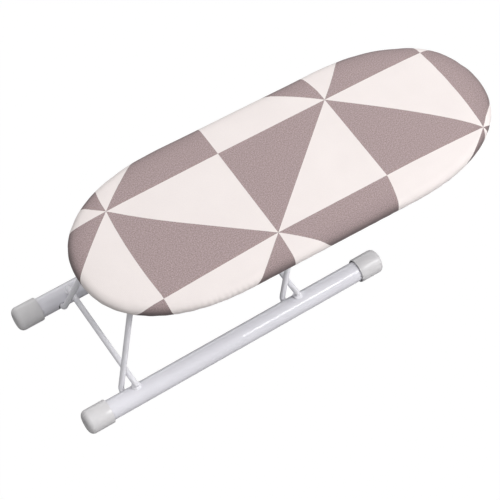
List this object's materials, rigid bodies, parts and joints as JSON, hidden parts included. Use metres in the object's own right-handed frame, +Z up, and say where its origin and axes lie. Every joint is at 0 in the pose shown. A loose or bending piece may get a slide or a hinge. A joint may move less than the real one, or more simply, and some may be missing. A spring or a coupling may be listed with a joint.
{
  "type": "tabletop sleeve ironing board",
  "caption": "Tabletop sleeve ironing board: padded oval board with a patterned cotton cover on folding bent-wire legs over a base of capped steel tubes.",
  "frame": {"origin": "on the table, under the middle of the whole object's box", "axes": "+X along the board towards its free end, +Y across it, +Z up"},
  "size_m": [0.5259, 0.1962, 0.1461],
  "materials": {
    "tube_paint": "gloss light grey paint",
    "wire_paint": "gloss light grey paint",
    "cap_plastic": "semi-gloss moulded plastic",
    "hinge_steel": "zinc-plated",
    "rivet_steel": "bright",
    "panel_paint": "satin light grey paint",
    "foam": "soft foam",
    "cover_cotton": "printed cotton, triangles in grey-mauve and off-white",
    "elastic": "woven elastic"
  },
  "bodies": {
    "base": {"near_tube": "tube_paint", "far_tube": "tube_paint", "near_left_cap": "cap_plastic", "near_right_cap": "cap_plastic", "far_left_cap": "cap_plastic", "far_right_cap": "cap_plastic", "left_cross_wire": "wire_paint", "right_cross_wire": "wire_paint"},
    "left_leg": {"left_leg": "wire_paint"},
    "right_leg": {"right_leg": "wire_paint"},
    "board": {"board_panel": "panel_paint", "foam_pad": "foam", "cotton_cover": "cover_cotton", "hem_elastic": "elastic", "left_stop_plate": "hinge_steel", "left_near_saddle": "hinge_steel", "left_near_left_rivet": "rivet_steel", "left_near_right_rivet": "rivet_steel", "left_far_saddle": "hinge_steel", "left_far_left_rivet": "rivet_steel", "left_far_right_rivet": "rivet_steel", "right_stop_plate": "hinge_steel", "right_near_saddle": "hinge_steel", "right_near_left_rivet": "rivet_steel", "right_near_right_rivet": "rivet_steel", "right_far_saddle": "hinge_steel", "right_far_left_rivet": "rivet_steel", "right_far_right_rivet": "rivet_steel"}
  },
  "joints": [
    {"name": "left_leg_fold", "type": "hinge", "parent": "base", "child": "left_leg", "pos_m": [-0.21255, 0, 0.014], "axis": [0, -1, 0], "range_deg": [0, 98]},
    {"name": "right_leg_fold", "type": "hinge", "parent": "base", "child": "right_leg", "pos_m": [-0.01545, 0, 0.014], "axis": [0, -1, 0], "range_deg": [0, 98]},
    {"name": "board_level", "type": "hinge", "parent": "left_leg", "child": "board", "pos_m": [-0.17681, 0, 0.1309], "axis": [0, -1, 0], "range_deg": [-98, 0]}
  ],
  "couplings": [
    {"joint": "right_leg_fold", "follows": "left_leg_fold", "ratio": 1},
    {"joint": "board_level", "follows": "left_leg_fold", "ratio": -1}
  ]
}
